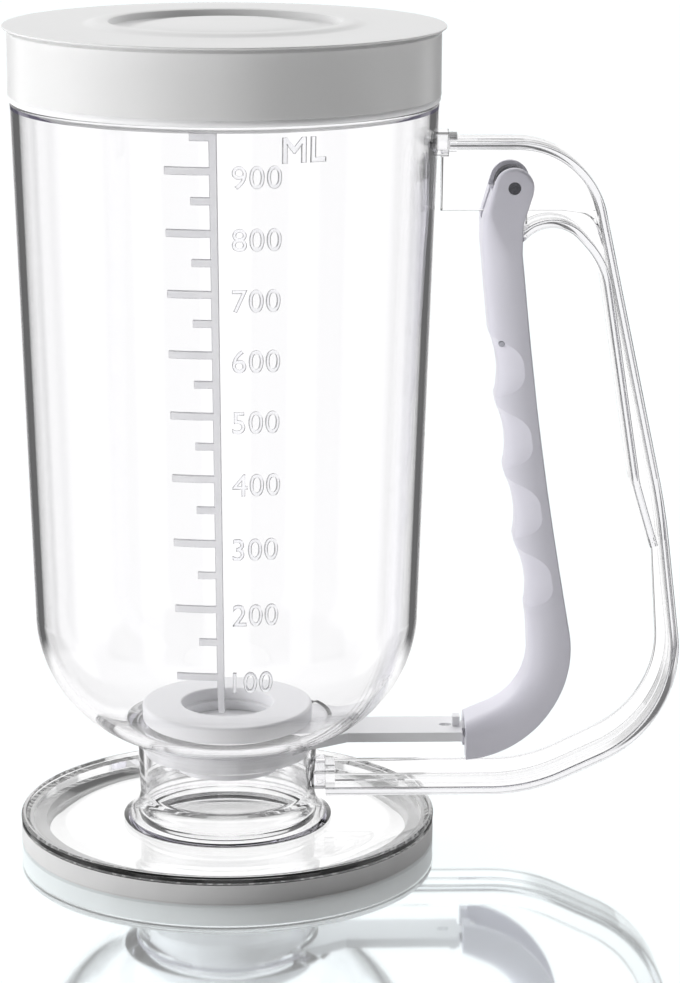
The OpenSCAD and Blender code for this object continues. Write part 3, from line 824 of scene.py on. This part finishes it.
class Shader:
    """A material with one Principled shader, and short calls that add nodes to it."""

    def __init__(self, name, **values):
        self.material = bpy.data.materials.new(name)
        self.material.use_nodes = True
        self.tree = self.material.node_tree
        self.bsdf = self.tree.nodes["Principled BSDF"]
        for socket, value in values.items():
            self.bsdf.inputs[socket.replace("_", " ")].default_value = value

    def node(self, kind, inputs=(), **settings):
        return add_node(self.tree, kind, inputs, settings)

    def noise(self, scale, detail=3.0, stretch=(1, 1, 1)):
        place = self.node("TexCoord").outputs["Object"]
        mapping = self.node("Mapping", {"Vector": place, "Scale": stretch})
        noise = self.node("TexNoise", {
            "Vector": mapping.outputs[0], "Scale": scale, "Detail": detail, "Roughness": 0.5,
        })
        return noise.outputs["Fac"]

    def remap(self, value, low, high):
        made = self.node("MapRange", {"Value": value, "To Min": low, "To Max": high})
        return made.outputs["Result"]

    def ramp(self, value, *stops):
        """Colour from a value: each stop is a position and a colour."""
        made = self.node("ValToRGB", {"Fac": value})
        for element, (position, colour) in zip(made.color_ramp.elements, stops):
            element.position = position
            element.color = (*colour, 1.0)
        return made.outputs["Color"]

    def into(self, socket, value):
        self.tree.links.new(value, self.bsdf.inputs[socket])

    def output(self, socket, value):
        self.tree.links.new(value, self.tree.nodes["Material Output"].inputs[socket])

    def bump(self, height, strength, distance):
        inputs = {"Height": height, "Strength": strength, "Distance": distance}
        self.into("Normal", self.node("Bump", inputs).outputs["Normal"])

    def wear(self, low, high, scale):
        """Roughness that varies softly over the surface."""
        self.into("Roughness", self.remap(self.noise(scale), low, high))


def darker(colour, share):
    return tuple(share * c for c in colour)


def clear_plastic(name, tint, density):
    """Polished clear moulding with a grey-lilac absorption and a trace of haze."""
    made = Shader(name, Base_Color=(1.0, 1.0, 1.0, 1.0), IOR=1.53, Transmission_Weight=1.0)
    made.into("Roughness", made.remap(made.noise(40), 0.0, 0.015))
    absorb = made.node("VolumeAbsorption", {"Color": (*tint, 1.0), "Density": density})
    made.output("Volume", absorb.outputs[0])
    return made.material


def frosted_plastic(name, clearness, low, high):
    """Raised marks: the same plastic with a matt, scattering face."""
    made = Shader(name, IOR=1.45, Transmission_Weight=clearness, Specular_IOR_Level=0.3)
    tones = (0.3, (0.90, 0.90, 0.92)), (0.7, (0.96, 0.96, 0.97))
    made.into("Base Color", made.ramp(made.noise(120), *tones))
    made.wear(low, high, 200)
    made.bump(made.noise(1500), 0.06, 0.0001)
    return made.material


def moulded_plastic(name, colour, low, high, grain=True):
    """Opaque moulded plastic: soft tone variation, uneven gloss and a fine satin grain."""
    made = Shader(name, Specular_IOR_Level=0.5)
    tones = (0.25, darker(colour, 0.985)), (0.75, colour)
    made.into("Base Color", made.ramp(made.noise(35, 2.0), *tones))
    made.wear(low, high, 60)
    if grain:
        made.bump(made.noise(900, 2.0), 0.03, 0.0001)
    return made.material


def soft_ring(name, colour):
    """Matt soft plastic or silicone."""
    made = Shader(name, Specular_IOR_Level=0.35)
    tones = (0.3, darker(colour, 0.94)), (0.7, colour)
    made.into("Base Color", made.ramp(made.noise(80), *tones))
    made.wear(0.45, 0.6, 90)
    made.bump(made.noise(1400), 0.08, 0.0002)
    return made.material


def drawn_steel(name, low, high):
    """Drawn steel between two slightly blue greys, with fine lines round the rod."""
    made = Shader(name, Metallic=1.0)
    fine = made.noise(2500, 3.0, (1, 0.06, 1))
    tones = (0.3, (low, low, 1.1 * low)), (0.7, (high, high, 1.1 * high))
    made.into("Base Color", made.ramp(fine, *tones))
    made.into("Roughness", made.remap(fine, 0.22, 0.42))
    made.bump(fine, 0.1, 0.0001)
    return made.material


jug_clear = clear_plastic("jug_clear", (0.70, 0.67, 0.78), 22.0)
handle_clear = clear_plastic("handle_clear", (0.76, 0.76, 0.79), 48.0)
dish_clear = clear_plastic("dish_clear", (0.76, 0.78, 0.80), 10.0)
mark_frost = frosted_plastic("mark_frost", 0.8, 0.30, 0.42)
number_frost = frosted_plastic("number_frost", 1.0, 0.06, 0.14)
lid_white = moulded_plastic("lid_white", (0.80, 0.80, 0.80), 0.27, 0.30, grain=False)
valve_white = moulded_plastic("valve_white", (0.82, 0.82, 0.84), 0.25, 0.40)
trigger_lilac = moulded_plastic("trigger_lilac", (0.70, 0.69, 0.76), 0.28, 0.42)
# White silicone for the lid's seal. Its near-white colour is partly painted light: the seal sits in
# shade under the lid's rim, and the colour is raised to stand in for light that reaches it through
# the silicone.
seal_white_painted_light = soft_ring("seal_white_painted_light", (0.95, 0.95, 0.96))
gasket_white = soft_ring("gasket_white", (0.76, 0.76, 0.76))
foot_grey = soft_ring("foot_grey", (0.70, 0.70, 0.70))
steel = drawn_steel("steel", 0.06, 0.11)
pale_steel = drawn_steel("pale_steel", 0.36, 0.46)

# ---------- the pieces ----------

# CAD nodes that show as they are
KEPT_NODES = {
    "foot_ring": foot_grey,
    "lid_seal": seal_white_painted_light,
    "valve_seat": valve_white,
    "seat_gasket": gasket_white,
    "valve_retainer": valve_white,
    "shutter_slide": valve_white,
    "trigger_pin": steel,
}


def finish_kept_nodes():
    for name, material in KEPT_NODES.items():
        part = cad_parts[name]
        part.data.materials.clear()
        part.data.materials.append(material)


def add_piece(name, mesh, material, slot, node=None, body=None):
    """A finished piece from a mesh in millimetres; it stands for a CAD node, or rides on a body."""
    mesh = cleaned(mesh)
    mesh.transform(Matrix.Scale(MM, 4))
    mesh.materials.clear()
    mesh.materials.append(material)
    mesh.shade_smooth()
    mesh.set_sharp_from_angle(angle=CREASE)
    mesh = baked(mesh, "WEIGHTED_NORMAL", keep_sharp=True, weight=50)
    mesh.name = name
    piece = bpy.data.objects.new(name, mesh)
    scene.collection.objects.link(piece)
    if node:
        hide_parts(node)
    if body:
        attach(piece, body)
    if slot == "clear_plastic":
        # Lamps and soft light reach what stands inside or behind it
        piece.visible_shadow = False
        piece.visible_diffuse = False
    return piece


def add_pieces():
    add_piece("dish", dish_mesh(), dish_clear, "clear_plastic", "stand_dish", "stand")
    add_piece("jug_body", jug_mesh(), jug_clear, "clear_plastic", "jug", "jug")
    add_piece("handle", handle_mesh(), handle_clear, "clear_plastic", "handle_frame", "jug")
    add_piece("lid_cap", lid_mesh(), lid_white, "white_plastic", "lid", "lid")
    lever = trigger_mesh()
    add_piece("trigger_lever", lever, trigger_lilac, "trigger_plastic", "trigger", "trigger")
    add_piece("anchor_rod", anchor_mesh(), pale_steel, "steel", "spring_anchor_pin", "trigger")
    spring = add_piece("return_spring", spring_mesh(), steel, "steel", "trigger_spring")
    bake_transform(spring)
    add_piece("capacity_scale", marks_mesh(), mark_frost, "clear_plastic", body="jug")
    add_piece("capacity_numbers", numbers_mesh(), number_frost, "clear_plastic", body="jug")


# ---------- stage ----------

CAMERA_PLACE = (0.0, -808.9, 286.9)
CAMERA_YAW = math.radians(1.99)
CAMERA_PITCH = math.radians(13.73)
CAMERA_ROLL = math.radians(0.24)
CAMERA_LENS = 123.2
SENSOR = 36.0


def make_camera():
    yaw, pitch, roll = CAMERA_YAW, CAMERA_PITCH, CAMERA_ROLL
    ahead = Vector((
        math.sin(yaw) * math.cos(pitch), math.cos(yaw) * math.cos(pitch), -math.sin(pitch)
    ))
    right = Vector((math.cos(yaw), -math.sin(yaw), 0))
    up = right.cross(ahead)
    turned_right = math.cos(roll) * right + math.sin(roll) * up
    turned_up = math.cos(roll) * up - math.sin(roll) * right
    data = bpy.data.cameras.new("camera")
    data.lens = CAMERA_LENS
    data.sensor_width = SENSOR
    camera = bpy.data.objects.new("camera", data)
    camera.matrix_world = Matrix((turned_right, turned_up, -ahead)).transposed().to_4x4()
    camera.location = Vector(CAMERA_PLACE) * MM
    scene.collection.objects.link(camera)
    scene.camera = camera


def make_lamp(name, place, aim, size, power):
    """Round soft lamp that no mirror or lens shows."""
    data = bpy.data.lights.new(name, "AREA")
    data.shape = "DISK"
    data.size = size
    data.energy = power
    lamp = bpy.data.objects.new(name, data)
    lamp.location = place
    lamp.rotation_euler = (Vector(aim) - Vector(place)).to_track_quat("-Z", "Y").to_euler()
    lamp.visible_camera = False
    lamp.visible_glossy = False
    lamp.visible_transmission = False
    scene.collection.objects.link(lamp)


AMBIENT = 0.30
AMBIENT_FRONT = 0.04
CEILING = 2.5
CEILING_LEAN = math.radians(38)
SHEEN = 0.97
SHEEN_FRONT = 0.20
WINDOW = 1.1
ZENITH = 0.45
DARK_BACK = 0.15
GREY_FRONT = 0.55
DARK_ABOVE = 0.26


def make_world():
    """The studio, which looks different to each kind of ray.

    The camera sees plain white. Soft light comes from a ceiling that leans back. Clear plastic
    shows four wide and four slim white windows round the horizon, on dark behind the object and
    on grey in front, all darker higher up. Gloss shows the same below the horizon, and above it
    a white surround that darkens high up in front.
    """
    world = bpy.data.worlds.new("studio")
    world.use_nodes = True
    scene.world = world
    world.node_tree.nodes.clear()

    def node(kind, inputs=(), **settings):
        return add_node(world.node_tree, kind, inputs, settings)

    def maths(operation, a, b=0.0):
        return node("Math", {0: a, 1: b}, operation=operation).outputs[0]

    def step(value, start, end, low, high):
        inputs = {"Value": value, "From Min": start, "From Max": end, "To Min": low, "To Max": high}
        return node("MapRange", inputs, interpolation_type="SMOOTHSTEP").outputs["Result"]

    def mix(factor, a, b):
        return node("Mix", {"Factor": factor, "A": a, "B": b}).outputs["Result"]

    split = node("SeparateXYZ", {0: node("TexCoord").outputs["Generated"]}).outputs
    y, z = split["Y"], split["Z"]
    wave = maths("COSINE", maths("MULTIPLY", maths("ARCTAN2", y, split["X"]), 4.0))
    wide = step(wave, 0.35, 0.68, 0.0, WINDOW)
    slim = step(wave, -0.78, -0.94, 0.0, WINDOW)
    flag = step(y, 0.55, 0.70, GREY_FRONT, DARK_BACK)
    level = step(z, -0.42, -0.30, WINDOW, 0.0)
    side = maths("MAXIMUM", maths("MAXIMUM", wide, slim), maths("MAXIMUM", flag, level))
    above = step(z, 0.32, 0.50, 1.0, DARK_ABOVE)
    zenith = step(z, 0.75, 0.95, 0.0, ZENITH)
    through = maths("MAXIMUM", maths("MULTIPLY", side, above), zenith)

    back = maths("MULTIPLY", y, math.sin(CEILING_LEAN))
    up = maths("MULTIPLY", z, math.cos(CEILING_LEAN))
    ceiling = step(maths("ADD", back, up), 0.72, 0.90, 0.0, CEILING)
    front = maths("MULTIPLY", maths("SUBTRACT", z, y), 0.707)
    soft = maths("ADD", step(front, 0.30, 0.75, AMBIENT, AMBIENT_FRONT), ceiling)
    sheen = step(front, 0.40, 0.80, SHEEN, SHEEN_FRONT)
    upper = step(z, -0.01, 0.01, 0.0, 1.0)

    path = node("LightPath").outputs
    bounced = mix(path["Is Glossy Ray"], soft, mix(upper, through, sheen))
    light = mix(path["Is Transmission Ray"], bounced, through)
    strength = maths("MAXIMUM", light, path["Is Camera Ray"])
    background = node("Background", {"Color": (1, 1, 1, 1), "Strength": strength})
    node("OutputWorld", {"Surface": background.outputs[0]})


FLOOR_HALF = 6.0
FLOOR_WHITE = (0.8, 0.8, 0.8, 1.0)
FLOOR_GLOW = 1.5
MIRROR_SHARE = 0.90
MIRROR_TINT = (0.91, 0.985, 1.0, 1.0)


def make_floor():
    """Pale glossy table top, a mirror only to the camera.

    Rays that come off glossy or clear pieces pass through it to the studio.
    """
    half = FLOOR_HALF
    corners = [(-half, -half, 0), (half, -half, 0), (half, half, 0), (-half, half, 0)]
    mesh = bpy.data.meshes.new("floor")
    mesh.from_pydata(corners, [], [(0, 1, 2, 3)])
    floor = bpy.data.objects.new("floor", mesh)
    scene.collection.objects.link(floor)
    made = Shader("floor_white", Base_Color=FLOOR_WHITE, Roughness=0.6, Specular_IOR_Level=0.0)

    def maths(operation, a, b):
        return made.node("Math", {0: a, 1: b}, operation=operation).outputs[0]

    path = made.node("LightPath").outputs
    strength = maths("MULTIPLY", path["Is Camera Ray"], FLOOR_GLOW)
    glow = made.node("Emission", {"Color": (1, 1, 1, 1), "Strength": strength})
    lit = made.node("AddShader", {0: made.bsdf.outputs[0], 1: glow.outputs[0]})
    mirror = made.node("BsdfGlossy", {"Color": MIRROR_TINT, "Roughness": 0.05})
    share = maths("MULTIPLY", path["Is Camera Ray"], MIRROR_SHARE)
    top = made.node("MixShader", {"Fac": share, 1: lit.outputs[0], 2: mirror.outputs[0]})
    passed = made.node("BsdfTransparent")
    beyond = maths("MAXIMUM", path["Is Transmission Ray"], path["Is Glossy Ray"])
    whole = made.node("MixShader", {"Fac": beyond, 1: top.outputs[0], 2: passed.outputs[0]})
    made.output("Surface", whole.outputs[0])
    mesh.materials.append(made.material)


finish_kept_nodes()
add_pieces()
make_camera()
make_world()
make_floor()
make_lamp("side", place=(-1.30, -0.40, 0.30), aim=(0.03, 0, 0.11), size=0.6, power=13.0)
